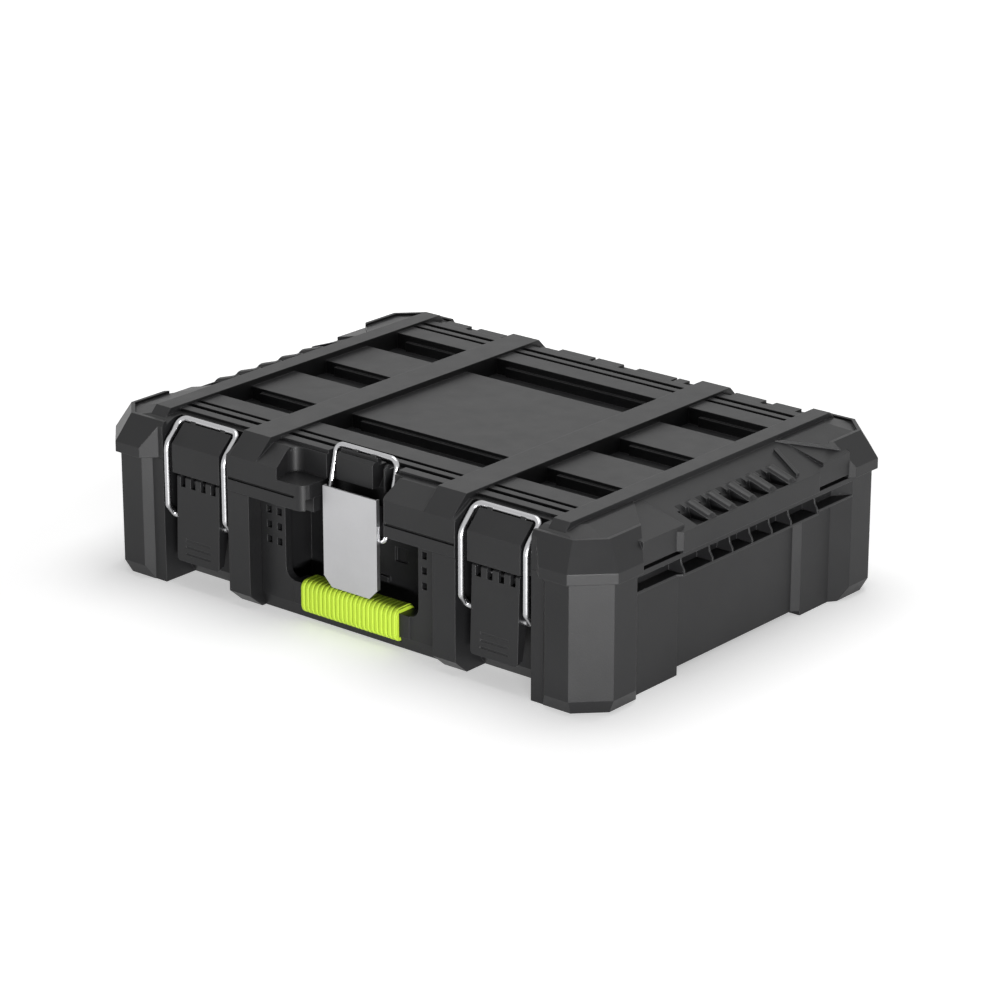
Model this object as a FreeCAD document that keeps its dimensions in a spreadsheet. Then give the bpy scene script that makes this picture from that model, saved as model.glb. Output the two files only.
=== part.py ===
import FreeCAD, Part
import math
import os
from types import SimpleNamespace

import Sketcher

# Stackable tool box: a shallow moulded tub, a ribbed lid on a rear hinge, two side latches,
# a middle latch with a metal face, and a carrying handle set into the front.
# Millimetres. X runs left to right along the front, the front looks along -Y, Z is up,
# and the origin is the middle of the underside.

SIZES = [
    # The whole box
    ("box_length", 530.0),
    ("box_width", 394.4),
    ("bar_top", 145.0),
    ("lid_corner", 27.5),
    ("base_inset", 4.6),
    ("base_corner", 24.5),
    ("wall", 3.0),
    ("bar_play", 1.0),
    ("bar_front", 169.7),
    ("overrun", 2.0),
    # Heights of the seam, the lid's lip, shoulder and crown
    ("seam", 107.0),
    ("seam_gap", 0.3),
    ("lip_height", 9.0),
    ("shoulder_inset", 13.7),
    ("shoulder_top", 138.5),
    ("crown_top", 141.0),
    ("panel_top", 139.8),
    ("rib_top", 142.5),
    # Lid crown, stacking bars, bays and recesses
    ("crown_half_length", 223.0),
    ("crown_half_width", 168.2),
    ("crown_corner", 14.0),
    ("inner_bar_near", 88.2),
    ("inner_bar_far", 116.9),
    ("outer_bar_near", 201.3),
    ("outer_bar_far", 217.7),
    ("recess_floor", 128.5),
    ("recess_near", 72.5),
    ("recess_far", 111.5),
    ("middle_recess", 19.5),
    ("recess_ledge", 3.0),
    ("recess_ledge_rise", 3.0),
    ("groove_one", 133.0),
    ("groove_one_width", 4.5),
    ("groove_two", 143.5),
    ("groove_two_width", 5.5),
    ("rib_edge", 157.5),
    ("groove_margin", 3.0),
    ("groove_sink", 1.0),
    ("lid_skin", 2.7),
    ("rim_width", 3.0),
    ("rim_dip", 2.4),
    # Lid front and back
    ("post_inner", 199.1),
    ("post_flank", 11.3),
    ("mid_face", 186.0),
    ("block_face", 188.0),
    ("block_inner", 37.0),
    ("block_knee", 128.5),
    ("block_top", 140.3),
    ("block_top_y", 166.0),
    ("block_bottom", 98.0),
    ("block_round", 8.0),
    ("skirt", 4.0),
    ("line_height", 109.3),
    ("line_width", 1.6),
    ("line_depth", 1.2),
    ("line_inner", 46.5),
    ("slope_knee", 123.0),
    ("slope_top", 139.5),
    ("slope_top_y", 169.0),
    ("pad_rise", 2.2),
    # Wire gutters and catch pillows of the side latches
    ("latch_x", 157.3),
    ("pocket_half", 37.0),
    ("gutter", 5.6),
    ("gutter_back", 163.0),
    ("pillow_half", 26.2),
    ("pillow_bottom", 98.5),
    ("catch_y", 170.8),
    # Finger notch on the left of the middle latch
    ("notch_floor", 119.3),
    ("notch_edge", 65.5),
    ("notch_back_x", 73.0),
    ("notch_back", 160.0),
    ("notch_round", 9.0),
    # Middle catch
    ("catch_front", 163.0),
    ("catch_rear", 157.3),
    ("catch_top", 144.5),
    ("catch_bottom", 122.8),
    ("catch_round", 2.6),
    ("catch_seat", 141.0),
    ("catch_left", 24.0),
    ("nib_width", 1.6),
    ("nib_top", 147.0),
    ("catch_slot_near", 14.5),
    ("catch_slot_far", 26.0),
    ("catch_rib", 1.6),
    ("swing_back", 155.0),
    ("leg_channel_back", 148.5),
    # Lid side: grip slope, band and finger pockets
    ("slope_high", 140.0),
    ("slab_rise", 3.0),
    ("slab_front", 84.0),
    ("slab_rear", 99.0),
    ("band_top", 125.4),
    ("band_face", 264.5),
    ("post_end", 139.3),
    ("band_half", 89.1),
    ("part_step", 4.3),
    ("part_bottom", 110.5),
    ("slit_depth", 6.0),
    ("scallop_pitch", 26.2),
    ("scallop_first", -63.0),
    ("scallop_length", 25.5),
    ("scallop_width", 15.0),
    ("scallop_depth", 7.0),
    ("scallop_bank", 6.0),
    ("scallop_lip", 3.6),
    ("land_gap", 0.6),
    ("land_bank", 3.6),
    ("land_rise", 2.7),
    ("scallop_mid", 250.0),
    ("ridge_y", 64.0),
    ("ridge_width", 4.0),
    ("ridge_lean", 14.0),
    ("ridge_rise", 2.4),
    # Lid inside and seal
    ("lid_hollow_side", 240.0),
    ("lid_hollow_front", 163.0),
    ("lid_hollow_middle", 145.3),
    ("lid_hollow_jog", 84.0),
    ("seal_width", 3.0),
    ("seal_height", 2.6),
    ("seal_gap", 0.2),
    ("seal_front", 174.5),
    ("seal_middle", 153.5),
    ("seal_back", 184.3),
    ("seal_side", 253.0),
    # Base shell
    ("foot_height", 11.6),
    ("foot_inset", 6.0),
    ("floor_top", 7.0),
    ("base_flank_x", 249.5),
    ("base_flank_y", 126.5),
    ("base_post_y", 141.1),
    ("panel_step", 5.5),
    ("panel_front_y", 75.4),
    ("panel_rear_y", 87.8),
    ("main_panel_bottom", 3.6),
    ("flange_bottom", 89.6),
    ("flange_top", 91.6),
    ("rim_bottom", 103.0),
    ("gusset", 1.6),
    ("gusset_end_y", 87.5),
    ("base_post_inner", 206.2),
    ("post_flank_base", 6.6),
    ("pocket_back", 160.0),
    ("pocket_toe", 152.0),
    ("rim_front", 176.0),
    ("tray_front", 167.0),
    ("tray_middle", 147.0),
    ("tray_jog", 50.0),
    ("pilaster_inner", 97.0),
    ("pilaster_toe", 174.0),
    ("back_wall", 180.0),
    ("base_hollow_side", 241.0),
    # Hand pocket, handle frame and grip
    ("frame_front", 173.5),
    ("frame_thick", 7.0),
    ("frame_top", 95.0),
    ("frame_foot", 0.4),
    ("frame_leg", 70.5),
    ("frame_gap", 0.3),
    ("frame_round", 9.0),
    ("hand_half", 78.0),
    ("hand_back", 135.0),
    ("hand_floor", 3.5),
    ("toe_front", 170.0),
    ("ladder_near", 76.8),
    ("ladder_far", 87.9),
    ("ladder_low", 60.0),
    ("ladder_pitch", 12.7),
    ("ladder_wide", 5.0),
    ("ladder_tall", 6.0),
    ("grip_half", 51.0),
    ("grip_low", 7.5),
    ("grip_high", 33.8),
    ("grip_front", 177.5),
    ("grip_rear", 155.5),
    ("grip_wall", 3.0),
    ("grip_rib", 0.9),
    ("grip_pitch", 4.6),
    ("grip_round", 6.0),
    ("screw_x", 90.0),
    ("screw_low", 14.0),
    ("screw_high", 92.0),
    ("screw_shank", 3.5),
    ("screw_head", 7.0),
    ("screw_head_height", 2.4),
    ("screw_reach", 5.0),
    ("screw_fit", 0.1),
    ("hand_hole", 11.0),
    ("hand_hole_x", 57.0),
    ("hand_hole_z", 72.0),
    ("hand_hole_depth", 2.0),
    ("hand_boss_x", 44.0),
    ("hand_boss_z", 49.0),
    ("hand_boss", 7.0),
    ("hand_boss_height", 4.0),
    # Side latch lever, pin and wire bail
    ("lever_half", 23.6),
    ("lever_face", 183.5),
    ("lever_thick", 3.0),
    ("lever_depth", 9.2),
    ("lever_top", 96.2),
    ("lever_bottom", 23.0),
    ("lever_side", 2.6),
    ("lever_corner", 3.0),
    ("lever_lean", 2.4),
    ("lever_chamfer", 1.2),
    ("pivot_y", 176.6),
    ("pivot_z", 90.6),
    ("pin_size", 3.2),
    ("pin_half", 18.5),
    ("pin_lug", 3.6),
    ("pin_lug_radius", 3.2),
    ("hook_slack", 0.5),
    ("hook_play", 1.0),
    ("pin_fit", 0.05),
    ("comb_pitch", 11.4),
    ("comb_slot", 5.4),
    ("comb_bottom", 87.0),
    ("lug_width", 4.6),
    ("lug_radius", 4.6),
    ("bail_size", 5.0),
    ("bail_half", 32.2),
    ("bail_y", 186.0),
    ("bail_knee", 121.6),
    ("bail_top_y", 168.0),
    ("bail_top_z", 139.7),
    ("bail_foot_z", 68.5),
    ("bail_pivot_y", 179.2),
    ("bail_pivot_z", 59.0),
    ("bail_bend", 7.0),
    ("bail_foot_bend", 4.0),
    ("cradle_near", 14.0),
    ("cradle_width", 5.0),
    ("mid_cradle_near", 7.0),
    ("bail_knee_bend", 14.0),
    ("line_pitch", 5.8),
    ("grip_line_low", 29.5),
    ("grip_line_half", 14.0),
    ("grip_line_cut", 1.0),
    ("grip_line_tall", 1.8),
    # Middle latch
    ("face_half", 28.3),
    ("face_front", 174.5),
    ("face_thick", 1.5),
    ("face_top", 119.6),
    ("face_bottom", 35.4),
    ("face_corner", 8.5),
    ("face_fold", 2.2),
    ("carrier_half", 25.0),
    ("carrier_thick", 2.5),
    ("carrier_depth", 9.4),
    ("carrier_top", 117.5),
    ("carrier_bottom", 44.0),
    ("mid_pivot_y", 167.5),
    ("mid_pivot_z", 111.0),
    ("mid_knuckle", 4.2),
    ("mid_lug_near", 10.0),
    ("mid_lug_far", 17.0),
    ("knuckle_gap", 0.4),
    ("mid_hook_slack", 1.2),
    ("mid_hook_play", 1.8),
    ("mid_hook_rear", 5.4),
    ("mid_bail_size", 4.6),
    ("mid_bail_half", 32.0),
    ("mid_bail_top_y", 152.6),
    ("mid_bail_top_z", 148.2),
    ("mid_bail_pivot_y", 168.2),
    ("mid_bail_pivot_z", 84.0),
    ("mid_bail_bend", 7.0),
    ("mid_shelf_front", 158.5),
    # Rear hinges
    ("hinge_y", 193.2),
    ("hinge_radius", 4.0),
    ("hinge_start", 94.0),
    ("hinge_knuckle", 14.0),
    ("hinge_middle", 24.0),
    ("hinge_web", 9.0),
    ("hinge_pin", 3.4),
]

GUSSET_SHARES = (-1.0, -0.59, -0.295, 0.0, 0.295, 0.59, 1.0)
SCALLOPS = 5
LADDER_ROWS = 3
GRIP_RIBS = 22
ROUND_STEPS = 4
COMB_NOTCHES = 4
GRIP_LINES = 3
MIDDLE_PAD_SHARES = ((-0.70, -0.29), (-0.25, 0.06), (0.25, 0.70), (0.73, 0.85))
SIDE_PAD_SHARES = ((0.08, 0.44), (0.56, 0.86))


class Size:
    """A length that carries its value and the sheet formula that it comes from."""

    def __init__(self, value, formula):
        self.value = value
        self.formula = formula

    def __add__(self, other):
        return join(self, "+", other)

    def __radd__(self, other):
        return join(other, "+", self)

    def __sub__(self, other):
        return join(self, "-", other)

    def __rsub__(self, other):
        return join(other, "-", self)

    def __mul__(self, other):
        return join(self, "*", other)

    def __rmul__(self, other):
        return join(other, "*", self)

    def __truediv__(self, other):
        return join(self, "/", other)

    def __neg__(self):
        return Size(-self.value, "-(" + self.formula + ")")


def as_size(item):
    """A plain number as a Size, so that both kinds can be joined."""
    if isinstance(item, Size):
        return item
    return Size(float(item), "(" + repr(float(item)) + ")")


def join(left, sign, right):
    """One Size from two, with the sum written out as a formula."""
    one, two = as_size(left), as_size(right)
    results = {
        "+": one.value + two.value,
        "-": one.value - two.value,
        "*": one.value * two.value,
        "/": one.value / two.value if two.value else 0.0,
    }
    return Size(results[sign], "(" + one.formula + " " + sign + " " + two.formula + ")")


doc = FreeCAD.newDocument("tool_box")
sheet = doc.addObject("Spreadsheet::Sheet", "sizes")
d = SimpleNamespace()
for row, (alias, value) in enumerate(SIZES, start=1):
    sheet.set("A" + str(row), alias)
    sheet.set("B" + str(row), str(value))
    sheet.setAlias("B" + str(row), alias)
    setattr(d, alias, Size(value, "sizes." + alias))
doc.recompute()


PLANES = {"top": "XY_Plane", "front": "XZ_Plane", "side": "YZ_Plane"}


def sketch(body, view, outlines, offset, rounds=()):
    """A sketch on one of the body's own planes, with every corner tied to the sheet."""
    item = body.newObject("Sketcher::SketchObject", "outline")
    plane = [part for part in body.Origin.OriginFeatures if part.Role == PLANES[view]][0]
    item.AttachmentSupport = [(plane, "")]
    item.MapMode = "FlatFace"
    shift = as_size(offset)
    item.AttachmentOffset = FreeCAD.Placement(FreeCAD.Vector(0, 0, shift.value), FreeCAD.Rotation())
    item.setExpression("AttachmentOffset.Base.z", shift.formula)
    ties = []
    formulas = []
    for outline in outlines:
        first = item.GeometryCount
        count = len(outline)
        spots = [FreeCAD.Vector(as_size(x).value, as_size(y).value, 0) for x, y in outline]
        lines = [Part.LineSegment(spots[i], spots[(i + 1) % count]) for i in range(count)]
        item.addGeometry(lines)
        for i, (x, y) in enumerate(outline):
            ties.append(Sketcher.Constraint("Coincident", first + i, 2, first + (i + 1) % count, 1))
            formulas.append(None)
            for way, size in (("DistanceX", as_size(x)), ("DistanceY", as_size(y))):
                ties.append(Sketcher.Constraint(way, -1, 1, first + i, 1, size.value))
                formulas.append(size.formula)
    for x, y, radius in rounds:
        x, y, radius = as_size(x), as_size(y), as_size(radius)
        centre = FreeCAD.Vector(x.value, y.value, 0)
        index = item.addGeometry(Part.Circle(centre, FreeCAD.Vector(0, 0, 1), radius.value))
        for way, size in (("DistanceX", x), ("DistanceY", y)):
            ties.append(Sketcher.Constraint(way, -1, 1, index, 3, size.value))
            formulas.append(size.formula)
        ties.append(Sketcher.Constraint("Radius", index, radius.value))
        formulas.append(radius.formula)
    item.addConstraint(ties)
    for i, formula in enumerate(formulas):
        if formula:
            item.setExpression("Constraints[" + str(i) + "]", formula)
    return item


def extrude(kind, body, view, outlines, low, high, rounds=()):
    """Material added or taken away between two places along the view's own direction."""
    adding = kind == "PartDesign::Pad"
    if view == "front":
        offset = -high if adding else -low
    else:
        offset = low if adding else high
    profile = sketch(body, view, outlines, offset, rounds)
    item = body.newObject(kind, "step")
    item.Profile = profile
    item.setExpression("Length", (high - low).formula)
    item.Refine = False
    body.Tip = item
    return item


def add(body, view, outlines, low, high, rounds=()):
    return extrude("PartDesign::Pad", body, view, outlines, as_size(low), as_size(high), rounds)


def cut(body, view, outlines, low, high, rounds=()):
    return extrude("PartDesign::Pocket", body, view, outlines, as_size(low), as_size(high), rounds)


def loft(body, view, *outlines):
    """A straight-sided solid through outlines with as many corners, each with its place."""
    sections = [sketch(body, view, [outline], place) for outline, place in outlines]
    item = body.newObject("PartDesign::AdditiveLoft", "blend")
    item.Profile = sections[0]
    item.Sections = sections[1:]
    item.Ruled = True
    item.Refine = False
    body.Tip = item
    return item


def row(body, features, axis, span, count):
    """Equal copies of some features along one of the body's own axes."""
    item = body.newObject("PartDesign::LinearPattern", "row")
    item.Originals = features
    item.Direction = ([part for part in body.Origin.OriginFeatures if part.Role == axis][0], [""])
    item.setExpression("Length", span.formula)
    item.Occurrences = count
    item.Refine = False
    body.Tip = item
    return item


def box(near, far, low, high):
    """The four corners of a rectangle from its two spans."""
    return [(near, low), (far, low), (far, high), (near, high)]


def both(outline):
    """An outline and its mirror image on the other side of the sketch's upright axis."""
    return [outline, [(-x, y) for x, y in outline]]


def ends(outline):
    """An outline and its image turned end for end along the sketch's upright axis."""
    return [outline, [(x, -y) for x, y in outline]]


def mirrored(body):
    """The whole body so far and its image across the middle of the box."""
    doc.recompute()
    item = body.newObject("PartDesign::Mirrored", "both_sides")
    plane = [part for part in body.Origin.OriginFeatures if part.Role == PLANES["side"]][0]
    item.TransformMode = "Whole shape"
    item.MirrorPlane = (plane, [""])
    item.Refine = False
    body.Tip = item
    return item


def dress(kind, body, chosen, size):
    """A fillet or chamfer on the edges of the body's last shape that a test picks."""
    doc.recompute()
    base = body.Tip
    names = ["Edge" + str(i) for i, edge in enumerate(base.Shape.Edges, start=1) if chosen(edge)]
    if not names:
        raise RuntimeError("no edge found to dress on " + body.Label)
    item = body.newObject(kind, "dressed")
    item.Base = (base, names)
    prop = "Radius" if kind == "PartDesign::Fillet" else "Size"
    item.setExpression(prop, as_size(size).formula)
    item.Refine = False
    body.Tip = item
    return item


def near(edge, axis, **spots):
    """True for a straight edge along one axis whose middle has the given places."""
    if edge.Curve.TypeId != "Part::GeomLine":
        return False
    way = edge.lastVertex().Point - edge.firstVertex().Point
    if abs(abs(getattr(way.normalize(), axis)) - 1) > 1e-4:
        return False
    middle = edge.BoundBox.Center
    return all(abs(getattr(middle, name) - as_size(size).value) < 0.05 for name, size in spots.items())


def rounded(near_x, far_x, low, high, radius, turns):
    """A rectangle whose corners are drawn as short straight steps of a round."""
    outline = []
    corners = [(far_x, low, 1, -1), (far_x, high, 1, 1), (near_x, high, -1, 1), (near_x, low, -1, -1)]
    for number, (x, y, side, up) in enumerate(corners):
        for step in range(turns + 1):
            angle = math.pi / 2 * (step / turns + number) - math.pi / 2
            outline.append((x - side * radius + math.cos(angle) * radius,
                            y - up * radius + math.sin(angle) * radius))
    return outline


bodies = {}


def new_body(name):
    item = doc.addObject("PartDesign::Body", name)
    item.Label = name
    item.Placement = FreeCAD.Placement()
    bodies[name] = item
    return item


# Sizes that follow from the table
half_length = d.box_length / 2
half_width = d.box_width / 2
base_side = half_length - d.base_inset
base_front = half_width - d.base_inset
lid_bottom = d.seam + d.seam_gap
skirt_top = d.block_bottom - d.seam_gap
pocket_near = d.latch_x - d.pocket_half
pocket_far = d.latch_x + d.pocket_half
octagon_share = math.tan(math.pi / 8)
outside = half_length + d.overrun
sky = d.bar_top + d.overrun


def base_plan(inset, back, pilaster):
    """Right half of the base seen from above; the posts can be drawn in for the feet."""
    lean = (d.base_post_y - d.base_flank_y) / (base_side - d.base_flank_x)
    side = base_side - inset
    front = base_front - inset
    flank = d.base_post_y - inset * lean
    corner_x = base_side - d.base_corner - inset * octagon_share
    corner_y = base_front - d.base_corner - inset * octagon_share
    jog = d.base_post_inner + d.post_flank_base - inset
    return [
        (0, -pilaster), (pocket_near, -pilaster), (pocket_near, -back), (pocket_far, -back),
        (pocket_far, -d.mid_face), (d.base_post_inner, -d.mid_face), (jog, -front),
        (corner_x, -front), (side, -corner_y), (side, -flank),
        (d.base_flank_x, -d.base_flank_y), (d.base_flank_x, d.base_flank_y),
        (side, flank), (side, corner_y), (corner_x, front), (jog, front),
        (d.base_post_inner, d.mid_face), (d.base_post_inner, d.back_wall), (0, d.back_wall),
    ]


# Base shell: right half first, then its mirror image, then what differs between the sides
base = new_body("base_shell")
pilaster_face = d.block_face - d.seam_gap
plan = base_plan(as_size(0), d.pocket_back, pilaster_face)
loft(base, "top", (base_plan(d.foot_inset, d.pocket_toe, d.pilaster_toe), 0), (plan, d.foot_height))
add(base, "top", [plan], d.foot_height, skirt_top)
upper = [
    (0, -d.mid_shelf_front), (d.block_inner, -d.mid_shelf_front), (d.block_inner, -d.rim_front),
    (pocket_far, -d.rim_front),
] + plan[4:16] + [(d.base_post_inner, d.mid_face), (0, d.mid_face)]
add(base, "top", [upper], skirt_top, d.rim_bottom)
rim = upper[:9] + upper[13:]
add(base, "top", [rim], d.rim_bottom, d.seam)

# Flange, channel ribs, sunk side panel and the hollow underside
step_y = d.band_half + d.part_step
part_side = half_length - d.part_step
flange = [
    (d.base_hollow_side, -d.base_post_y), (part_side, -d.base_post_y), (part_side, -step_y),
    (d.band_face, -d.band_half), (d.band_face, d.band_half), (part_side, step_y),
    (part_side, d.base_post_y), (d.base_hollow_side, d.base_post_y),
]
add(base, "top", [flange], d.flange_bottom, d.flange_top)
rib_shape = [
    (d.base_flank_x - d.wall, d.flange_bottom), (d.band_face, d.flange_bottom),
    (d.band_face - d.wall / 8, d.flange_top + d.wall),
    (d.band_face - d.wall, d.flange_top + d.wall * 2.4),
    (base_side, d.rim_bottom + d.wall / 3), (d.base_flank_x - d.wall, d.rim_bottom + d.wall / 3),
]
for share in GUSSET_SHARES:
    place = d.gusset_end_y * share
    add(base, "front", [rib_shape], place - d.gusset / 2, place + d.gusset / 2)
panel = [
    (d.base_flank_x - d.panel_step, -d.panel_front_y), (d.base_flank_x + d.wall, -d.panel_front_y),
    (d.base_flank_x + d.wall, d.panel_rear_y + d.wall),
    (d.base_flank_x - d.panel_step, d.panel_rear_y - d.panel_step),
]
cut(base, "top", [panel], -d.overrun, d.flange_bottom)
tunnels = [box(0, d.base_flank_x + d.wall, -d.panel_front_y, d.panel_rear_y)]
for bar_near, bar_far in ((d.inner_bar_near, d.inner_bar_far), (d.outer_bar_near, d.outer_bar_far)):
    start = bar_near - d.bar_play
    stop = bar_far + d.bar_play
    tunnels.append(box(start, stop, -d.crown_half_width - d.bar_play, -d.panel_front_y - d.wall))
    tunnels.append(box(start, stop, d.panel_rear_y + d.wall, d.crown_half_width + d.bar_play))
cut(base, "top", tunnels, -d.overrun, d.main_panel_bottom)
inner_y = d.pocket_toe - d.wall
post_room_x = base_side - d.wall * 3.3
post_room_y = base_front - d.wall * 3.2
hollow = [
    (0, -d.hand_back + d.wall), (d.hand_half + d.wall, -d.hand_back + d.wall),
    (d.hand_half + d.wall, -inner_y), (pocket_far + d.wall, -inner_y),
    (pocket_far + d.wall, -post_room_y), (post_room_x - d.base_corner / 2, -post_room_y),
    (post_room_x, -post_room_y + d.base_corner / 2), (post_room_x, -d.base_post_y),
    (d.base_hollow_side, -d.base_flank_y), (d.base_hollow_side, d.base_flank_y),
    (post_room_x, d.base_post_y), (post_room_x, post_room_y - d.base_corner / 2),
    (post_room_x - d.base_corner / 2, post_room_y), (d.base_post_inner + d.wall, post_room_y),
    (d.base_post_inner + d.wall, d.back_wall - d.wall), (0, d.back_wall - d.wall),
]
cut(base, "top", [hollow], d.floor_top, d.seam + d.overrun)
tray = [
    (0, -d.tray_middle), (d.tray_jog, -d.tray_middle), (d.tray_jog, -d.tray_front),
    (pocket_far - d.wall, -d.tray_front), (pocket_far - d.wall, -d.hand_back + d.wall * 2),
    (0, -d.hand_back + d.wall * 2),
]
cut(base, "top", [tray], skirt_top + d.wall, d.seam + d.overrun)

# Front recess for the handle frame, hand pocket and bearings of the latches
frame_side = d.pilaster_inner + d.frame_gap
frame_back = d.frame_front - d.frame_thick - d.frame_gap
frame_roof = d.frame_top + d.frame_gap
cut(base, "top", [box(0, frame_side, -half_width, -frame_back)], -d.overrun, frame_roof)
cut(base, "top", [box(0, d.hand_half, -half_width, -d.hand_back)], d.hand_floor, frame_roof)
cut(base, "top", [box(0, frame_side, -half_width, -d.rim_front)], -d.overrun, skirt_top)
cut(base, "top", [box(0, d.block_inner, -half_width, -d.mid_shelf_front)], -d.overrun, skirt_top)
pin_hole = d.pin_size / 2 + d.pin_fit
pin_arm = [
    (-d.pocket_back + d.wall, d.pivot_z - d.pin_lug_radius - d.wall),
    (-d.pivot_y, d.pivot_z - d.pin_lug_radius),
    (-d.pivot_y, d.pivot_z + d.pin_lug_radius), (-d.pocket_back + d.wall, d.pivot_z + d.pin_lug_radius),
]
for start in (d.latch_x - d.pin_half, d.latch_x + d.pin_half - d.pin_lug):
    stop = start + d.pin_lug
    add(base, "side", [pin_arm], start, stop)
    add(base, "side", [], start, stop, [(-d.pivot_y, d.pivot_z, d.pin_lug_radius)])
    cut(base, "side", [], start - d.wall, stop + d.wall, [(-d.pivot_y, d.pivot_z, pin_hole)])
lug = [
    (-d.mid_shelf_front + d.wall, skirt_top), (-d.mid_shelf_front - d.wall, skirt_top),
    (-d.mid_pivot_y - d.mid_knuckle * 0.6, d.mid_pivot_z - d.mid_knuckle * 0.8),
    (-d.mid_pivot_y, d.mid_pivot_z), (-d.mid_pivot_y + d.mid_knuckle, d.mid_pivot_z),
    (-d.mid_pivot_y + d.mid_knuckle, d.seam), (-d.mid_shelf_front + d.wall, d.seam),
]
add(base, "side", [lug], d.mid_lug_near, d.mid_lug_far)
add(base, "side", [], d.mid_lug_near, d.mid_lug_far, [(-d.mid_pivot_y, d.mid_pivot_z, d.mid_knuckle)])
cut(base, "side", [], d.mid_lug_near - d.wall, d.mid_lug_far + d.wall,
    [(-d.mid_pivot_y, d.mid_pivot_z, pin_hole)])
screw_hole = d.screw_shank / 2 + d.screw_fit
screw_spots = [(d.screw_x, d.screw_low, screw_hole), (d.screw_x, d.screw_high, screw_hole)]
cut(base, "front", [], -half_width, -inner_y + d.wall, screw_spots)

# Rear hinge knuckles
hinge_z = d.seam + d.seam_gap / 2
hinge_hole = d.hinge_pin / 2 + d.pin_fit
knuckle_web = [
    (d.mid_face - d.wall, hinge_z - d.hinge_radius - d.hinge_web), (d.hinge_y, hinge_z - d.hinge_radius),
    (d.hinge_y, hinge_z), (d.mid_face - d.wall, hinge_z),
]
first_end = d.hinge_start + d.hinge_knuckle
last_start = first_end + d.hinge_middle
for start in (d.hinge_start, last_start):
    stop = start + d.hinge_knuckle
    add(base, "side", [knuckle_web], start, stop)
    add(base, "side", [], start, stop, [(d.hinge_y, hinge_z, d.hinge_radius)])
    cut(base, "side", [], start - d.wall, stop + d.wall, [(d.hinge_y, hinge_z, hinge_hole)])
mirrored(base)

# Square hole and small boss on the pocket's back wall, on the right only
half_hole = d.hand_hole / 2
cut(base, "front", [box(d.hand_hole_x - half_hole, d.hand_hole_x + half_hole,
                        d.hand_hole_z - half_hole, d.hand_hole_z + half_hole)],
    -d.hand_back, -d.hand_back + d.hand_hole_depth)
half_boss = d.hand_boss / 2
add(base, "front", [box(d.hand_boss_x - half_boss, d.hand_boss_x + half_boss,
                        d.hand_boss_z - half_boss, d.hand_boss_z + half_boss)],
    -d.hand_back - d.hand_boss_height, -d.hand_back)


def octagon(inset):
    """Right half of the lid's outer octagon, drawn in by an even margin."""
    side = half_length - inset
    front = half_width - inset
    corner = d.lid_corner + inset * octagon_share
    return [(0, -front), (half_length - corner, -front), (side, -half_width + corner),
            (side, half_width - corner), (half_length - corner, front), (0, front)]


def crown(corner):
    """Right half of the raised top of the lid."""
    side = d.crown_half_length
    front = d.crown_half_width
    return [(0, -front), (side - corner, -front), (side, -front + corner),
            (side, front - corner), (side - corner, front), (0, front)]


# Lid shell: lip, shoulder, rim and the slope up to the crown
lid = new_body("lid_shell")
lip_top = d.seam + d.lip_height
add(lid, "top", [octagon(as_size(0))], lid_bottom, lip_top)
loft(lid, "top", (octagon(as_size(0)), lip_top), (octagon(d.shoulder_inset), d.shoulder_top))
rim_inset = d.shoulder_inset + d.rim_width
valley = d.shoulder_top - d.rim_dip
cut(lid, "top", [octagon(rim_inset)], valley, sky)
loft(lid, "top", (octagon(rim_inset), valley), (crown(d.crown_corner), d.crown_top))

# Sides: the slope for the fingers, its band and the set-back parts at both ends
slope_start = d.outer_bar_far
slope_half = d.post_end - (half_length - slope_start)
trapezoid = [(slope_start, -slope_half), (outside, -d.post_end - d.overrun),
             (outside, d.post_end + d.overrun), (slope_start, slope_half)]
cut(lid, "top", [trapezoid], 0, sky)
slope_fall = (d.slope_high - d.band_top) / (d.band_face - slope_start)
outer_top = d.slope_high - (half_length - slope_start) * slope_fall
loft(lid, "side", (box(-slope_half, slope_half, lid_bottom, d.slope_high), slope_start),
     (box(-d.post_end, d.post_end, lid_bottom, outer_top), half_length))
part_y = d.post_end - d.part_step
side_trim = [
    (outside, -d.post_end - d.overrun), (part_side, -part_y), (part_side, -step_y),
    (d.band_face, -d.band_half), (d.band_face, d.band_half), (part_side, step_y),
    (part_side, part_y), (outside, d.post_end + d.overrun),
]
cut(lid, "top", [side_trim], 0, sky)
slit_side = part_side - d.slit_depth
side_slits = [
    box(slit_side, outside, -part_y, -d.band_half),
    box(slit_side, outside, d.band_half, part_y),
]
cut(lid, "top", side_slits, 0, d.part_bottom)
cut(lid, "top", [box(slit_side, outside, -d.band_half - d.overrun, d.band_half + d.overrun)],
    0, d.seam + d.seam_gap * 5)


# Rear edge between the posts, the bars that carry a second box, then the bays between them
rear_slope = [
    (d.crown_half_width, sky), (d.crown_half_width, d.panel_top),
    (d.mid_face, d.panel_top - (d.mid_face - d.crown_half_width)),
    (half_width + d.overrun, d.panel_top - (d.mid_face - d.crown_half_width)),
    (half_width + d.overrun, sky),
]
cut(lid, "side", [rear_slope], 0, d.post_inner)
deep = d.crown_top - d.lip_height * 2
outer_bar = [
    (-d.mid_face, d.bar_top - (d.mid_face - d.crown_half_width)), (-d.crown_half_width, d.bar_top),
    (d.crown_half_width, d.bar_top), (d.mid_face, d.bar_top - (d.mid_face - d.crown_half_width)),
    (d.mid_face, deep), (-d.mid_face, deep),
]
inner_bar = [(-d.bar_front, deep), (-d.bar_front, d.bar_top)] + outer_bar[2:5]
add(lid, "side", [inner_bar], d.inner_bar_near, d.inner_bar_far)
add(lid, "side", [outer_bar], d.outer_bar_near, d.outer_bar_far)
bay_edges = ((as_size(0), d.inner_bar_near), (d.inner_bar_far, d.outer_bar_near))
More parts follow.
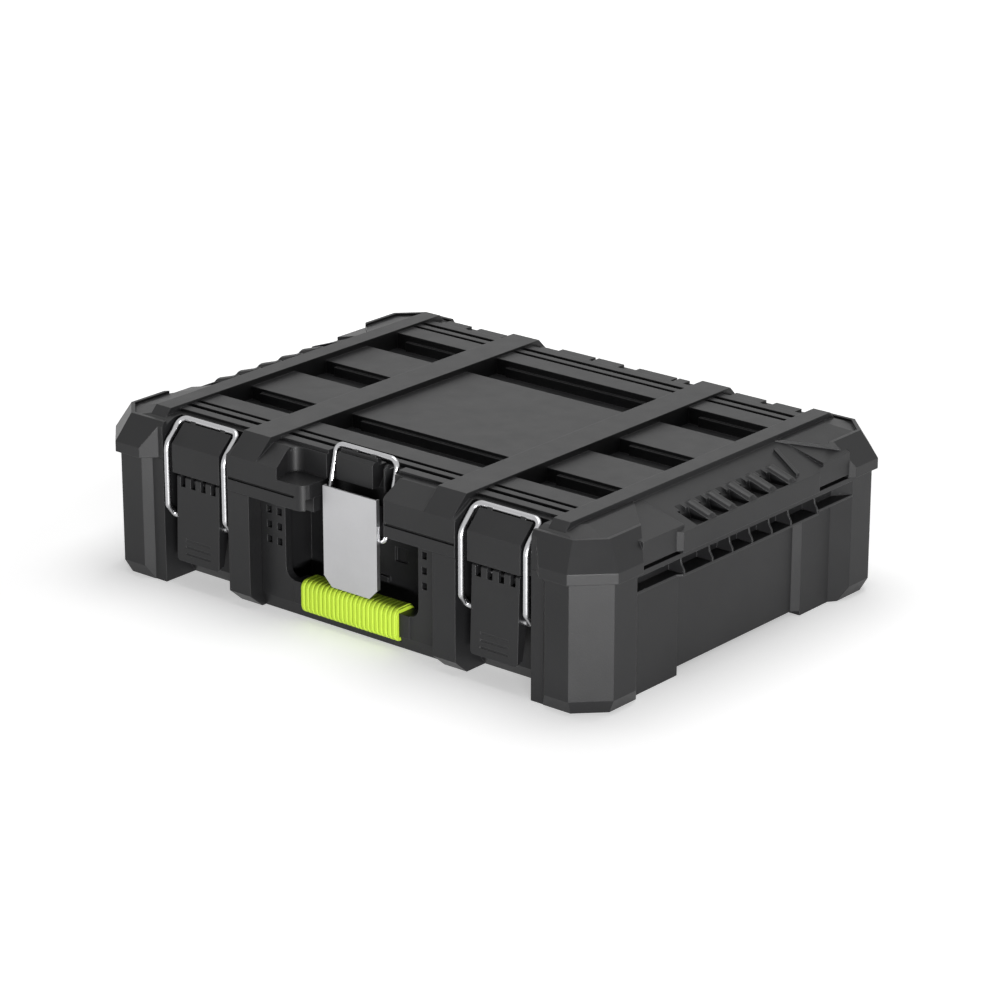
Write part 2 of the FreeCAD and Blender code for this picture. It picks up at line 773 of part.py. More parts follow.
bays = [box(start, stop, -d.crown_half_width - d.lid_corner, d.crown_half_width + d.lid_corner)
        for start, stop in bay_edges]
cut(lid, "top", bays, d.panel_top, sky)
strip_rows = ((d.recess_far, d.groove_one), (d.groove_one + d.groove_one_width, d.groove_two),
              (d.groove_two + d.groove_two_width, d.rib_edge))
strips = []
grooves = []
for start, stop in bay_edges:
    inset = d.groove_margin if start.value else as_size(0)
    for low, high in strip_rows:
        strips += ends(box(start, stop, low, high))
    for low, wide in ((d.groove_one, d.groove_one_width), (d.groove_two, d.groove_two_width)):
        grooves += ends(box(start + inset, stop - d.groove_margin, low, low + wide))
add(lid, "top", strips, d.panel_top, d.rib_top)
cut(lid, "top", grooves, d.panel_top - d.groove_sink, sky)
pans = []
for start, stop in bay_edges:
    pans += ends(box(start, stop, d.recess_near, d.recess_far))
pans.append(box(d.inner_bar_far, d.outer_bar_near, -d.middle_recess, d.middle_recess))
cut(lid, "top", pans, d.recess_floor, sky)
ledges = []
for start, stop in bay_edges:
    inset = d.groove_margin * 4 if start.value else as_size(0)
    low = start + inset
    high = stop - d.groove_margin * 4
    ledges.append(box(low, high, d.recess_far - d.recess_ledge, d.recess_far))
    ledges.append(box(low, high, -d.recess_near - d.recess_ledge, -d.recess_near))
ledges.append(box(d.inner_bar_far + d.groove_margin * 4, d.outer_bar_near - d.groove_margin * 4,
                  d.middle_recess - d.recess_ledge, d.middle_recess))
add(lid, "top", ledges, d.recess_floor, d.panel_top - d.recess_ledge_rise)

# Front: middle zone cut back between the posts, then block, pillow and pocket
post_outer = d.post_inner + d.post_flank
mid_zone = [(0, -half_width - d.overrun), (post_outer + d.overrun, -half_width - d.overrun),
            (post_outer, -half_width), (d.post_inner, -d.mid_face), (0, -d.mid_face)]
cut(lid, "top", [mid_zone, [(x, -y) for x, y in mid_zone]], 0, sky)
front_cut = [
    (-half_width, d.block_knee - d.overrun), (-d.block_face, d.block_knee - d.overrun),
    (-d.block_face, d.block_knee), (-d.block_top_y, d.block_top),
    (-d.block_top_y, sky), (-half_width, sky),
]
cut(lid, "side", [front_cut], 0, d.inner_bar_near)
cut(lid, "side", [front_cut], d.inner_bar_far, pocket_near)
block = [
    (-d.block_face, d.block_bottom), (-d.block_face + d.skirt, d.block_bottom),
    (-d.block_face + d.skirt, lid_bottom), (-d.block_top_y, lid_bottom), (-d.block_top_y, d.block_top),
    (-d.block_face, d.block_knee),
]
add(lid, "side", [block], 0, pocket_near)
bar_end = [
    (-d.block_face, d.block_knee), (-d.bar_front, d.bar_top), (-d.bar_front + d.overrun, d.bar_top),
    (-d.bar_front + d.overrun, d.block_knee),
]
add(lid, "side", [bar_end], d.inner_bar_near, d.inner_bar_far)
inner_y_gutter = d.mid_face - d.gutter
gutter_room = [
    (-half_width, 0), (-inner_y_gutter, 0), (-inner_y_gutter, d.slope_knee - d.gutter / 2),
    (-d.slope_top_y + d.gutter / 2, d.slope_top - d.gutter), (-d.gutter_back, d.slope_top - d.gutter),
    (-d.gutter_back, sky), (-half_width, sky),
]
cut(lid, "side", [gutter_room], pocket_near, pocket_far)
gutter_skirt = [(-inner_y_gutter, d.pillow_bottom), (-inner_y_gutter + d.wall, d.pillow_bottom),
                (-inner_y_gutter + d.wall, lid_bottom), (-inner_y_gutter, lid_bottom)]
add(lid, "side", [gutter_skirt], pocket_near - d.wall, pocket_far - d.seam_gap)
add(lid, "top", [box(pocket_near - d.wall, pocket_near, -d.block_face, -inner_y_gutter + d.wall)],
    d.block_bottom, d.block_knee)
catch_z = d.slope_top - (d.catch_y - d.slope_top_y)
pillow = [
    (-inner_y_gutter + d.wall, d.pillow_bottom),
    (-d.mid_face, d.pillow_bottom), (-d.mid_face, d.slope_knee),
    (-d.catch_y, catch_z), (-d.catch_y, d.slope_top - d.gutter * 1.5),
    (-inner_y_gutter + d.wall, d.slope_knee - d.gutter / 2),
]
add(lid, "side", [pillow], d.latch_x - d.pillow_half, d.latch_x + d.pillow_half)
cut(lid, "front", [box(d.line_inner, pocket_near - d.line_depth, d.line_height - d.line_width / 2,
                       d.line_height + d.line_width / 2)], -d.block_face, -d.block_face + d.line_depth)
cut(lid, "top", [box(0, d.block_inner, -half_width, -d.swing_back)], 0, sky)
channel = [(-half_width, d.catch_bottom), (-d.swing_back, d.catch_bottom),
           (-d.leg_channel_back, d.crown_top - d.lip_height),
           (-d.leg_channel_back, sky), (-half_width, sky)]
cut(lid, "side", [channel], 0, d.block_inner)
catch = [
    (-d.catch_front, d.catch_bottom), (-d.leg_channel_back + d.overrun, d.catch_bottom),
    (-d.leg_channel_back + d.overrun, d.catch_seat), (-d.catch_rear, d.catch_seat),
    (-d.catch_rear, d.catch_top), (-d.catch_rear - d.catch_round, d.catch_top),
    (-d.catch_front, d.catch_top - d.catch_round),
]
add(lid, "side", [catch], 0, d.catch_slot_near)
nib = box(-d.catch_rear, -d.catch_rear + d.nib_width, d.catch_seat, d.nib_top)
add(lid, "side", [nib], 0, d.catch_slot_near)

cradle_gap = d.bail_size / 2 + d.pin_fit
for start in (d.latch_x - d.cradle_near - d.cradle_width, d.latch_x + d.cradle_near):
    stop = start + d.cradle_width
    cradle = box(-d.catch_y, -d.bail_top_y + d.lug_radius, d.slope_top - d.gutter * 1.5, d.bail_top_z)
    add(lid, "side", [cradle], start, stop)
    cut(lid, "side", [], start - d.wall, stop + d.wall, [(-d.bail_top_y, d.bail_top_z, cradle_gap)])
mid_cradle_gap = d.mid_bail_size / 2 + d.pin_fit
mid_cradle_end = d.mid_cradle_near + d.cradle_width
mid_cradle = box(-d.catch_rear + d.nib_width / 2, -d.mid_bail_top_y + d.pin_lug_radius,
                 d.catch_seat - d.wall, d.mid_bail_top_z)
add(lid, "side", [mid_cradle], d.mid_cradle_near, mid_cradle_end)
cut(lid, "side", [], d.mid_cradle_near - d.wall, mid_cradle_end + d.wall,
    [(-d.mid_bail_top_y, d.mid_bail_top_z, mid_cradle_gap)])

# Lid underside: a shallow hollow everywhere and deeper ones between the pans
deep_front = d.lid_hollow_front
low_stage = [
    (0, -d.lid_hollow_middle), (d.lid_hollow_jog, -d.lid_hollow_middle), (d.lid_hollow_jog, -deep_front),
    (d.lid_hollow_side, -deep_front), (d.lid_hollow_side, deep_front), (0, deep_front),
]
cut(lid, "top", [low_stage], 0, d.recess_floor - d.lid_skin)
high_stage = []
stage_side = d.outer_bar_far - d.wall
gap_one = (d.middle_recess + d.wall, d.recess_near - d.wall)
gap_two = (d.recess_far + d.wall, d.lid_hollow_middle)
for low, high in (gap_one, gap_two):
    high_stage += ends(box(0, stage_side, low, high))
cut(lid, "top", high_stage, 0, d.panel_top - d.lid_skin - d.groove_sink)


# Seal groove on the lid's lower face


def seal_line(inset):
    """Right half of the line that the seal follows, drawn in by a margin."""
    side = d.seal_side - inset
    front = d.seal_front - inset
    back = d.seal_back - inset
    jog = d.tray_jog - d.wall * 2
    return [
        (0, -d.seal_middle + inset), (jog + inset, -d.seal_middle + inset),
        (jog + inset, -front), (side - d.base_corner / 2, -front),
        (side, -front + d.base_corner / 2), (side, back - d.base_corner / 2),
        (side - d.base_corner / 2, back), (0, back),
    ]


def ring(inset, wide):
    """The right half of a band between two seal lines."""
    return seal_line(inset) + list(reversed(seal_line(inset + wide)))


cut(lid, "top", [ring(as_size(0), d.seal_width)], 0, lid_bottom + d.seal_height)

# Lid hinge knuckles
web_root = d.mid_face - d.wall / 2
lid_web = [
    (web_root, lid_bottom), (d.hinge_y, lid_bottom), (d.hinge_y, hinge_z + d.hinge_radius),
    (web_root, hinge_z + d.hinge_radius + d.hinge_web),
]
lid_start = first_end + d.knuckle_gap
lid_stop = last_start - d.knuckle_gap
room = d.hinge_radius + d.knuckle_gap
add(lid, "side", [lid_web], lid_start, lid_stop)
add(lid, "side", [], lid_start, lid_stop, [(d.hinge_y, hinge_z, d.hinge_radius)])
cut(lid, "side", [], lid_start - d.wall, lid_stop + d.wall, [(d.hinge_y, hinge_z, hinge_hole)])

# Grip slope: raised slabs at both ends, finger pockets with a rib beside each, and a ridge


def slope_at(x):
    """Height of the side slope at a distance from the middle."""
    return d.slope_high - (x - slope_start) * slope_fall


slab = [
    (slope_start, d.slope_high), (part_side, slope_at(part_side) + d.slab_rise),
    (part_side, slope_at(part_side) - d.wall), (slope_start, d.slope_high - d.wall),
]
add(lid, "front", [slab], -part_y, -d.slab_front)
add(lid, "front", [slab], d.slab_rear, part_y)
scoop_near = d.scallop_mid - d.scallop_length / 2
scoop_far = d.scallop_mid + d.scallop_length / 2
scoop_throat = scoop_near + d.scallop_bank
scoop_low = slope_at(d.scallop_mid) - d.scallop_depth
scoop = [
    (scoop_throat, sky), (scoop_throat, slope_at(scoop_throat) - d.scallop_lip),
    (scoop_throat + d.overrun, scoop_low), (scoop_far - d.overrun, scoop_low),
    (scoop_far, slope_at(scoop_far)), (scoop_far, sky),
]
throat = [
    (scoop_near, sky), (scoop_near, slope_at(scoop_near)),
    (scoop_throat, slope_at(scoop_throat) - d.scallop_lip), (scoop_throat, sky),
]


def land(x, rise):
    """Cross-section of the raised rib behind a finger pocket at one distance from the middle."""
    low = d.scallop_first + d.scallop_width / 2 + d.land_gap
    high = d.scallop_first + d.scallop_pitch - d.scallop_width / 2 - d.land_gap
    foot = slope_at(x)
    return [
        (low, foot - d.wall), (high, foot - d.wall), (high, foot),
        (high - d.land_bank / 3, foot + rise * 0.7), (high - d.land_bank, foot + rise),
        (low + d.land_bank, foot + rise), (low + d.land_bank / 3, foot + rise * 0.7), (low, foot),
    ]


land_spots = (
    (scoop_near, d.land_rise / 8), (scoop_near + d.land_bank, d.land_rise),
    (scoop_far - d.land_bank / 2, d.land_rise), (scoop_far, d.land_rise / 3),
)
pocket = [
    cut(lid, "front", [scoop], d.scallop_first - d.scallop_width / 2, d.scallop_first + d.scallop_width / 2),
    cut(lid, "front", [throat], d.scallop_first - d.scallop_width / 4, d.scallop_first + d.scallop_width / 4),
    loft(lid, "side", *[(land(x, rise), x) for x, rise in land_spots]),
]
row(lid, pocket, "Y_Axis", d.scallop_pitch * (SCALLOPS - 1), SCALLOPS)
ridge_low, ridge_high = scoop_near - d.scallop_lip * 3, scoop_far - d.land_bank
ends_of_ridge = []
for x, y in ((ridge_low, d.ridge_y + d.ridge_lean), (ridge_high, d.ridge_y)):
    ends_of_ridge.append(box(y, y + d.ridge_width, slope_at(x) - d.wall, slope_at(x) + d.ridge_rise))
loft(lid, "side", (ends_of_ridge[0], ridge_low), (ends_of_ridge[1], ridge_high))

mirrored(lid)

# Middle catch, thin rib and finger notch differ between the sides
add(lid, "side", [catch], -d.catch_left, -d.catch_slot_near)
add(lid, "side", [nib], -d.catch_left, -d.catch_slot_near)
add(lid, "side", [catch], d.catch_slot_far, d.catch_slot_far + d.catch_rib)
notch = [(-d.notch_edge, -half_width), (-d.notch_edge, -d.block_face), (-d.notch_back_x, -d.notch_back),
         (-d.block_inner + d.overrun, -d.notch_back), (-d.block_inner + d.overrun, -half_width)]
cut(lid, "top", [notch], d.notch_floor, sky)
dress("PartDesign::Fillet", lid,
      lambda edge: near(edge, "z", x=-d.notch_back_x, y=-d.notch_back), d.notch_round)
dress("PartDesign::Fillet", lid,
      lambda edge: near(edge, "z", x=-d.block_inner, y=-d.block_face), d.block_round)
rear_pads = [
    box(start * d.inner_bar_near, stop * d.inner_bar_near, d.rib_edge, d.crown_half_width)
    for start, stop in MIDDLE_PAD_SHARES
]
bay_width = d.outer_bar_near - d.inner_bar_far
for start, stop in SIDE_PAD_SHARES:
    rear_pads += both(box(d.inner_bar_far + bay_width * start, d.inner_bar_far + bay_width * stop,
                          d.rib_edge, d.crown_half_width))
add(lid, "top", rear_pads, d.panel_top, d.panel_top + d.pad_rise)

# Seal: one loop in the lid's groove
seal = new_body("lid_seal")
add(seal, "top", [ring(as_size(0), d.seal_width)], d.seam + d.seal_gap, lid_bottom + d.seal_height)
mirrored(seal)

# Handle frame: two legs with a ladder of holes, a toe and the bar for the hand
frame = new_body("handle_frame")
frame_rear = d.frame_front - d.frame_thick
core_low = d.grip_low + d.grip_wall
core_high = d.grip_high - d.grip_wall
frame_outline = [
    (0, d.frame_foot), (d.pilaster_inner, d.frame_foot), (d.pilaster_inner, d.frame_top),
    (d.frame_leg, d.frame_top),
]
for step in range(ROUND_STEPS + 1):
    turn = math.pi / 2 * step / ROUND_STEPS
    frame_outline.append((d.frame_leg - d.frame_round + math.cos(turn) * d.frame_round,
                          core_high + d.frame_round - math.sin(turn) * d.frame_round))
frame_outline.append((0, core_high))
add(frame, "front", [frame_outline], -d.frame_front, -frame_rear)
grip_room = d.grip_half + d.frame_gap
add(frame, "front", [box(0, d.frame_leg - d.frame_round, core_low, core_high)], -d.grip_front + d.grip_wall,
    -d.grip_rear - d.grip_wall)
cut(frame, "front", [box(0, grip_room, d.grip_low - d.grip_rib - d.frame_gap, core_low)],
    -half_width, -d.hand_back)
toe_cut = [(-half_width, 0), (-d.toe_front, 0),
           (-d.frame_front, d.foot_height), (-half_width, d.foot_height)]
cut(frame, "side", [toe_cut], 0, d.pilaster_inner + d.wall)
ladder = []
for x in (d.ladder_near, d.ladder_far):
    for level in range(LADDER_ROWS):
        z = d.ladder_low + d.ladder_pitch * level
        ladder.append(box(x - d.ladder_wide / 2, x + d.ladder_wide / 2,
                          z - d.ladder_tall / 2, z + d.ladder_tall / 2))
cut(frame, "front", ladder, -half_width, -d.hand_back)
cut(frame, "front", [], -frame_rear - d.screw_reach - d.wall / 6, -d.hand_back, [
    (x, y, d.screw_shank / 2) for x, y, radius in screw_spots])
mirrored(frame)

# Grip: a ribbed sleeve round the bar
grip = new_body("handle_grip")
sleeve = rounded(-d.grip_front, -d.grip_rear, d.grip_low, d.grip_high, d.grip_round, ROUND_STEPS)
rib = rounded(-d.grip_front - d.grip_rib, -d.grip_rear + d.grip_rib, d.grip_low - d.grip_rib,
              d.grip_high + d.grip_rib, d.grip_round + d.grip_rib, ROUND_STEPS)
add(grip, "side", [sleeve], -d.grip_half, d.grip_half)
first_rib = add(grip, "side", [rib], -d.grip_half + d.grip_pitch / 4, -d.grip_half + d.grip_pitch * 0.8)
row(grip, [first_rib], "X_Axis", d.grip_pitch * (GRIP_RIBS - 1), GRIP_RIBS)
bore = box(-d.grip_front + d.grip_wall, -d.grip_rear - d.grip_wall, core_low, core_high)
cut(grip, "side", [bore], -d.grip_half - d.wall, d.grip_half + d.wall)

# Side latch levers: comb notches above, grip lines below, cheeks that carry pin and wire
lever_low = d.lever_bottom
cheek_back = d.lever_face - d.lever_depth
foot_face = d.lever_face + d.lever_lean
bail_hole = d.bail_size / 2 + d.pin_fit
for side, name in ((-1, "left_latch_lever"), (1, "right_latch_lever")):
    lever = new_body(name)
    middle = d.latch_x * side
    low_x, high_x = middle - d.lever_half, middle + d.lever_half
    shell = [
        (-foot_face, lever_low), (-foot_face + d.lever_thick, lever_low),
        (-d.lever_face + d.lever_thick, d.lever_top), (-d.lever_face + d.lever_chamfer, d.lever_top),
        (-d.lever_face, d.lever_top - d.lever_chamfer),
    ]
    add(lever, "side", [shell], low_x, high_x)
    dress("PartDesign::Fillet", lever, lambda edge: near(edge, "y", z=lever_low), d.lever_corner)
    cheek = [
        (-foot_face + d.lever_thick / 2, lever_low + d.lever_corner),
        (-foot_face + d.lever_thick * 2, lever_low + d.lever_corner),
        (-cheek_back, d.bail_pivot_z - d.lever_corner * 2), (-cheek_back, d.pivot_z + d.lug_radius),
        (-cheek_back - d.lever_chamfer, d.lever_top),
        (-d.lever_face + d.lever_thick / 2, d.lever_top - d.lever_chamfer),
    ]
    add(lever, "side", [cheek], low_x, low_x + d.lever_side)
    add(lever, "side", [cheek], high_x - d.lever_side, high_x)
    inner = [middle - d.comb_pitch - d.lug_width / 2, middle + d.comb_pitch - d.lug_width / 2]
    for start in inner:
        add(lever, "side", [box(-d.lever_face + d.lever_thick / 2, -d.pivot_y + d.lug_radius,
                                d.pivot_z - d.lug_radius, d.lever_top - d.lever_chamfer)],
            start, start + d.lug_width)
        cut(lever, "side", [box(-d.pivot_y - pin_hole, -d.pivot_y + pin_hole + d.hook_play,
                                d.pivot_z - pin_hole - d.hook_slack, sky)],
            start - d.pin_fit, start + d.lug_width + d.pin_fit)
    comb = [middle + d.comb_pitch * (n - 1.5) for n in range(COMB_NOTCHES)]
    notches = [box(x - d.comb_slot / 2, x + d.comb_slot / 2, d.comb_bottom, sky) for x in comb]
    cut(lever, "front", notches, -half_width, -d.pivot_y + d.lug_radius)
    lines = [box(middle - d.grip_line_half, middle + d.grip_line_half,
                 d.grip_line_low + d.line_pitch * n, d.grip_line_low + d.line_pitch * n + d.grip_line_tall)
             for n in range(GRIP_LINES)]
    cut(lever, "front", lines, -half_width, -d.lever_face - d.lever_lean + d.grip_line_cut)
    cut(lever, "side", [], low_x - d.wall, high_x + d.wall, [(-d.bail_pivot_y, d.bail_pivot_z, bail_hole)])
    pin = new_body(name.replace("lever", "pin"))
    add(pin, "side", [], middle - d.pin_half, middle + d.pin_half,
        [(-d.pivot_y, d.pivot_z, d.pin_size / 2)])

# Middle latch: moulded carrier, its pin and the metal face in front of it
carrier = new_body("centre_latch_lever")
carrier_front = d.face_front - d.face_thick
plate = box(-carrier_front, -carrier_front + d.carrier_thick, d.carrier_bottom, d.carrier_top)
carrier_half = as_size(d.carrier_half)
add(carrier, "side", [plate], -carrier_half, carrier_half)
carrier_cheek = [
    (-carrier_front, d.mid_bail_pivot_z - d.grip_wall * 3),
    (-carrier_front + d.carrier_depth, d.mid_bail_pivot_z - d.grip_wall),
    (-carrier_front + d.carrier_depth, d.mid_pivot_z), (-carrier_front, d.mid_pivot_z + d.mid_knuckle),
]
mid_bail_hole = d.mid_bail_size / 2 + d.pin_fit
block_end = d.mid_lug_near - d.knuckle_gap
for low, high in ((-carrier_half, -carrier_half + d.carrier_thick),
                  (carrier_half - d.carrier_thick, carrier_half)):
    add(carrier, "side", [carrier_cheek], low, high)
knuckle = box(-carrier_front + d.carrier_thick / 2, -d.mid_pivot_y + d.mid_hook_rear,
              d.mid_pivot_z - d.mid_knuckle, d.mid_pivot_z + d.mid_knuckle)
add(carrier, "side", [knuckle], -block_end, as_size(block_end))
lug_room = d.mid_knuckle + d.knuckle_gap
for low, high in ((-d.mid_lug_far - d.knuckle_gap, -block_end),
                  (block_end, d.mid_lug_far + d.knuckle_gap)):
    cut(carrier, "side", [box(-half_width, -d.mid_pivot_y + lug_room, d.mid_pivot_z - lug_room, sky)], low, high)
mid_mouth = box(-d.mid_pivot_y - pin_hole, -d.mid_pivot_y + pin_hole + d.mid_hook_play,
                d.mid_pivot_z - pin_hole - d.mid_hook_slack, sky)
cut(carrier, "side", [mid_mouth], -block_end - d.pin_fit, block_end + d.pin_fit)
cut(carrier, "side", [], -carrier_half - d.wall, carrier_half + d.wall,
    [(-d.mid_bail_pivot_y, d.mid_bail_pivot_z, mid_bail_hole)])
mid_pin = new_body("centre_latch_pin")
add(mid_pin, "side", [], -d.mid_lug_far, as_size(d.mid_lug_far),
    [(-d.mid_pivot_y, d.mid_pivot_z, d.pin_size / 2)])
cover = new_body("centre_latch_cover")
cover_outline = [
    (-d.face_half + d.face_corner, d.face_bottom), (d.face_half - d.face_corner, d.face_bottom),
    (d.face_half, d.face_bottom + d.face_corner), (d.face_half, d.face_top),
    (-d.face_half, d.face_top), (-d.face_half, d.face_bottom + d.face_corner),
]
add(cover, "front", [cover_outline], -d.face_front, -carrier_front)
for low, high in ((-d.face_half, -d.face_half + d.face_thick), (d.face_half - d.face_thick, d.face_half)):
    fold = box(-carrier_front, -carrier_front + d.face_fold, d.face_bottom + d.face_corner, d.face_top)
    add(cover, "side", [fold], low, high)

# Hinge pins
for side, name in ((-1, "left_hinge_pin"), (1, "right_hinge_pin")):
    pin = new_body(name)
    start = d.hinge_start * side
    stop = (last_start + d.hinge_knuckle) * side
    low, high = (stop, start) if side < 0 else (start, stop)
    add(pin, "side", [], low, high, [(d.hinge_y, hinge_z, d.hinge_pin / 2)])

# Handle screws: four alike, turned in from inside the tub
screws = new_body("handle_screws")
for x in (-d.screw_x, d.screw_x):
    spots = [(x, d.screw_low, d.screw_shank / 2), (x, d.screw_high, d.screw_shank / 2)]
    heads = [(x, d.screw_low, d.screw_head / 2), (x, d.screw_high, d.screw_head / 2)]
    add(screws, "front", [], -frame_rear - d.screw_reach, -inner_y, spots)
    add(screws, "front", [], -inner_y, -inner_y + d.screw_head_height, heads)


def bent_wire(name, corners, bends, size):
    """A round wire along straight runs joined by arcs, which no planar sketch can carry."""
    spots = [FreeCAD.Vector(*[as_size(value).value for value in corner]) for corner in corners]
    edges = []
    start = spots[0]
    for i in range(1, len(spots) - 1):
        turn = spots[i]
        back = (spots[i - 1] - turn).normalize()
        ahead = (spots[i + 1] - turn).normalize()
        angle = back.getAngle(ahead)
        radius = as_size(bends[i - 1]).value
        reach = radius / math.tan(angle / 2)
        middle_way = (back + ahead).normalize()
        first = turn + back * reach
        last = turn + ahead * reach
        middle = turn + middle_way * (radius / math.sin(angle / 2) - radius)
        edges.append(Part.makeLine(start, first))
        edges.append(Part.Arc(first, middle, last).toShape())
        start = last
    edges.append(Part.makeLine(start, spots[-1]))
    path = Part.Wire(edges)
    way = (spots[1] - spots[0]).normalize()
    profile = Part.Wire([Part.makeCircle(as_size(size).value / 2, spots[0], way)])
    item = doc.addObject("Part::Feature", name)
    item.Label = name
    item.Shape = path.makePipeShell([profile], True, False)
    item.Placement = FreeCAD.Placement()
    bodies[name] = item
    return item


# Wire bails: feet in the lever's cheeks, two legs and a cross piece that hooks over the lid
foot_end = d.lever_half - d.lever_side
for side, name in ((-1, "left_latch_bail"), (1, "right_latch_bail")):
    middle = d.latch_x * side
    corners = []
    for hand in (-1, 1):
        leg = middle + d.bail_half * hand
        run = [
            (middle + foot_end * hand, -d.bail_pivot_y, d.bail_pivot_z),
            (leg, -d.bail_pivot_y, d.bail_pivot_z), (leg, -d.bail_y, d.bail_foot_z),
            (leg, -d.bail_y, d.bail_knee), (leg, -d.bail_top_y, d.bail_top_z),
        ]
        corners += run if hand < 0 else list(reversed(run))
    half_bends = [d.bail_foot_bend, d.bail_foot_bend, d.bail_knee_bend, d.bail_bend]
    bent_wire(name, corners, half_bends + list(reversed(half_bends)), d.bail_size)
mid_end = d.carrier_half - d.carrier_thick
corners = []
for hand in (-1, 1):
    leg = d.mid_bail_half * hand
    run = [
        (mid_end * hand, -d.mid_bail_pivot_y, d.mid_bail_pivot_z),
        (leg, -d.mid_bail_pivot_y, d.mid_bail_pivot_z), (leg, -d.mid_bail_top_y, d.mid_bail_top_z),
    ]
    corners += run if hand < 0 else list(reversed(run))
bent_wire("centre_latch_bail", corners,
          [d.bail_foot_bend, d.mid_bail_bend, d.mid_bail_bend, d.bail_foot_bend], d.mid_bail_size)

# Faces in one plane are joined at the end, then everything is checked and written
for item in bodies.values():
    if item.TypeId == "PartDesign::Body":
        item.Tip.Refine = True
doc.recompute()
for item in doc.Objects:
    if "Invalid" in item.State or "Error" in item.State:
        raise RuntimeError("bad state: " + item.Label)
os.makedirs("parts", exist_ok=True)
for name, item in bodies.items():
    if item.Shape.isNull() or not item.Shape.isValid():
        raise RuntimeError("bad shape: " + name)
    item.Shape.exportStep("parts/" + name + ".step")
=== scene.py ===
import math

import bmesh
import bpy
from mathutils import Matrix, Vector


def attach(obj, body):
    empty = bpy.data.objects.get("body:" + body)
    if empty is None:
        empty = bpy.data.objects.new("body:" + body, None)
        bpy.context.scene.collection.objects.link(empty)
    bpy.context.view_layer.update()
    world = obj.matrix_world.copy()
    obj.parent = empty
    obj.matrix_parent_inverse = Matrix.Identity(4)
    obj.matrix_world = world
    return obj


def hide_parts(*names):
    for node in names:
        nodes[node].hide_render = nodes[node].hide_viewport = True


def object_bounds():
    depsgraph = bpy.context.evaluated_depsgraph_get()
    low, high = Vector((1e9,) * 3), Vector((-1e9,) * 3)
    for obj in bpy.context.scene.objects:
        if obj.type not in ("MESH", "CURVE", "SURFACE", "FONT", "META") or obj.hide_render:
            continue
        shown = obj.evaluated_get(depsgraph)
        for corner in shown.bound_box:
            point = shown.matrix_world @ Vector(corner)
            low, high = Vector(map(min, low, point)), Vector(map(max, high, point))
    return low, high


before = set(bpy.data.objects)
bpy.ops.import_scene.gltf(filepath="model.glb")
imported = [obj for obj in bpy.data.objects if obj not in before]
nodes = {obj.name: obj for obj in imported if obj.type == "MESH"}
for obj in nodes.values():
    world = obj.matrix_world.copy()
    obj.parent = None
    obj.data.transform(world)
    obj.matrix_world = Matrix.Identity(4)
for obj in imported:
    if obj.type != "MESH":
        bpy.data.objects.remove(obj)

cad_low, cad_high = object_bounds()

# Camera and studio. The box is seen from its front right, a little from above, through a
# long lens about three metres away. A pale floor carries its shadow and the light is soft
# and even, so that black plastic shows its edges.
scene = bpy.context.scene
scene.view_settings.view_transform = "Standard"
azimuth, elevation, distance = math.radians(39.981), math.radians(19.944), 3.0204
target = Vector((0.0, 0.0, 0.065))
back = Vector((
    math.sin(azimuth) * math.cos(elevation),
    -math.cos(azimuth) * math.cos(elevation),
    math.sin(elevation),
))
camera_data = bpy.data.cameras.new("camera")
camera_data.lens = 132.02
camera_data.sensor_width = 36.0
camera_data.shift_x = 0.00785
camera_data.shift_y = 0.0003
camera = bpy.data.objects.new("camera", camera_data)
camera.location = target + back * distance
camera.rotation_mode = "QUATERNION"
camera.rotation_quaternion = (-back).to_track_quat("-Z", "Y")
scene.collection.objects.link(camera)
scene.camera = camera


def white_to_the_eye(tree, shader, out_socket, seen_shader):
    """The camera, gloss and glass see white; the light on the object stays as it is."""
    paths = tree.nodes.new("ShaderNodeLightPath")
    seen = paths.outputs["Is Camera Ray"]
    for kind in ("Is Glossy Ray", "Is Transmission Ray"):
        either = tree.nodes.new("ShaderNodeMath")
        either.operation = "MAXIMUM"
        tree.links.new(seen, either.inputs[0])
        tree.links.new(paths.outputs[kind], either.inputs[1])
        seen = either.outputs[0]
    mix = tree.nodes.new("ShaderNodeMixShader")
    tree.links.new(seen, mix.inputs[0])
    tree.links.new(shader, mix.inputs[1])
    tree.links.new(seen_shader, mix.inputs[2])
    tree.links.new(mix.outputs[0], out_socket)


sky_light, plain_light = 0.2, 1.0
white = (1.0, 1.0, 1.0, 1.0)
world = bpy.data.worlds.new("studio")
scene.world = world
world.use_nodes = True
sky = world.node_tree
sky.nodes["Background"].inputs["Color"].default_value = white
sky.nodes["Background"].inputs["Strength"].default_value = sky_light
plain_white = sky.nodes.new("ShaderNodeBackground")
plain_white.inputs["Color"].default_value = white
plain_white.inputs["Strength"].default_value = plain_light
white_to_the_eye(sky, sky.nodes["Background"].outputs[0], sky.nodes["World Output"].inputs["Surface"],
                 plain_white.outputs[0])


def soft_lamp(name, place, aim, width, height, power):
    """A large soft lamp that looks at a point of the box."""
    data = bpy.data.lights.new(name, "AREA")
    data.shape = "RECTANGLE"
    data.size = width
    data.size_y = height
    data.energy = power
    lamp = bpy.data.objects.new(name, data)
    lamp.location = place
    way = Vector(aim) - Vector(place)
    lamp.rotation_mode = "QUATERNION"
    lamp.rotation_quaternion = way.to_track_quat("-Z", "Y")
    scene.collection.objects.link(lamp)


soft_lamp("overhead", place=(0.0, 0.3, 1.9), aim=(0.0, 0.0, 0.1), width=1.4, height=1.4, power=20.0)
soft_lamp("low_front_right", place=(1.56, -1.56, 0.08), aim=(0.0, 0.0, 0.08),
          width=0.9, height=0.13, power=70.0)

